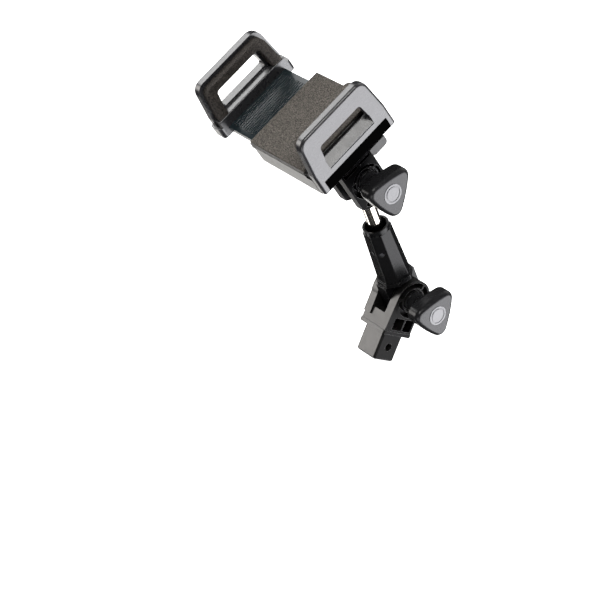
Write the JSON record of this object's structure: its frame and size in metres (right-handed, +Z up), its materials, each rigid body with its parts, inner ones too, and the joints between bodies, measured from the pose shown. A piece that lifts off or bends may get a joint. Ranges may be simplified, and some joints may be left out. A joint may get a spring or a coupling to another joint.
{
  "type": "phone mount",
  "caption": "Sliding-jaw phone cradle with ratchet release on a jointed arm: hand-knob hinges, a swivelling steel rod, and a shouldered foot plug with a cross hole.",
  "frame": {"origin": "centre of the cross hole in the foot plug, mid-width", "axes": "+Z up out of the foot plug, +X along both knob axes from the bolt heads to the knobs, -Y towards the user"},
  "size_m": [0.1219, 0.1597, 0.1636],
  "materials": {
    "bracket_plastic": "satin moulded nylon",
    "jaw_plastic": "satin moulded plastic, fine texture",
    "knob_plastic": "satin, fine texture on the face",
    "badge_plastic": "smooth grey",
    "trim_plastic": "dead matt black",
    "foam": "closed-cell foam, pebbled skin",
    "slide_plastic": "ribbed, satin",
    "rod_steel": "polished steel",
    "zinc_steel": "zinc-plated",
    "brass": "turned",
    "friction_ring": "matt",
    "acetal": "self-coloured natural acetal",
    "screw_steel": "black oxide"
  },
  "bodies": {
    "base": {"base_bracket": "bracket_plastic", "lower_bolt": "zinc_steel", "lower_friction_discs": "friction_ring"},
    "lower_clamp": {"lower_washer": "zinc_steel"},
    "lower_hand_knob": {"lower_knob": "knob_plastic", "lower_knob_insert": "brass", "lower_knob_badge": "badge_plastic"},
    "arm": {"arm": "bracket_plastic", "arm_bush": "acetal", "arm_set_screws": "screw_steel"},
    "swivel": {"swivel_rod": "rod_steel", "rod_head": "bracket_plastic", "rod_pin": "zinc_steel"},
    "cradle": {"upper_bracket": "bracket_plastic", "bracket_screws": "screw_steel", "upper_bolt": "zinc_steel", "upper_friction_discs": "friction_ring", "housing_shell": "bracket_plastic", "housing_cover": "jaw_plastic", "housing_screws": "screw_steel", "base_pad": "foam", "fixed_jaw": "jaw_plastic", "fixed_jaw_screws": "screw_steel", "jaw_strip": "trim_plastic", "fixed_jaw_pad": "foam", "pawl_pin": "zinc_steel", "pawl_spring": "zinc_steel"},
    "upper_clamp": {"upper_washer": "zinc_steel"},
    "upper_hand_knob": {"upper_knob": "knob_plastic", "upper_knob_insert": "brass", "upper_knob_badge": "badge_plastic"},
    "slide": {"slide_plate": "slide_plastic", "sliding_jaw": "jaw_plastic", "sliding_jaw_screws": "screw_steel", "sliding_jaw_pad": "foam"},
    "release": {"release_button": "bracket_plastic"},
    "ratchet": {"pawl": "acetal"}
  },
  "joints": [
    {"name": "lower_pivot", "type": "hinge", "parent": "base", "child": "arm", "pos_m": [0, 0.0028, 0.0335], "axis": [1, 0, 0], "range_deg": [-138.4, 41.6]},
    {"name": "rod_swivel", "type": "hinge", "parent": "arm", "child": "swivel", "pos_m": [0, -0.03459, 0.0667], "axis": [0, -0.7478, 0.6639], "range_deg": [-180, 180]},
    {"name": "cradle_tilt", "type": "hinge", "parent": "swivel", "child": "cradle", "pos_m": [0, -0.07205, 0.09996], "axis": [1, 0, 0], "range_deg": [-101.4, 78.6]},
    {"name": "jaw_slide", "type": "slide", "parent": "cradle", "child": "slide", "axis": [1, 0, 0], "range_m": [0, 0.029]},
    {"name": "button_press", "type": "slide", "parent": "cradle", "child": "release", "axis": [0, -0.503, -0.8643], "range_m": [0, 0.003], "stiffness_N_per_m": 400, "springref_m": -0.001},
    {"name": "pawl_rock", "type": "hinge", "parent": "cradle", "child": "ratchet", "pos_m": [-0.011, -0.08943, 0.12974], "axis": [0, 0.8643, -0.503], "range_deg": [0, 10.3]},
    {"name": "lower_knob_turn", "type": "hinge", "parent": "lower_clamp", "child": "lower_hand_knob", "pos_m": [0.02, 0.0028, 0.0335], "axis": [1, 0, 0], "range_deg": [0, 360]},
    {"name": "lower_clamp_travel", "type": "slide", "parent": "base", "child": "lower_clamp", "axis": [1, 0, 0], "range_m": [0, 0.00105]},
    {"name": "upper_knob_turn", "type": "hinge", "parent": "upper_clamp", "child": "upper_hand_knob", "pos_m": [0.02, -0.07205, 0.09996], "axis": [1, 0, 0], "range_deg": [0, 360]},
    {"name": "upper_clamp_travel", "type": "slide", "parent": "cradle", "child": "upper_clamp", "axis": [1, 0, 0], "range_m": [0, 0.00105]}
  ],
  "couplings": [
    {"joint": "button_press", "follows": "pawl_rock", "m_per_rad": 0.016667},
    {"joint": "lower_clamp_travel", "follows": "lower_knob_turn", "m_per_rad": 0.00015915},
    {"joint": "upper_clamp_travel", "follows": "upper_knob_turn", "m_per_rad": 0.00015915}
  ]
}
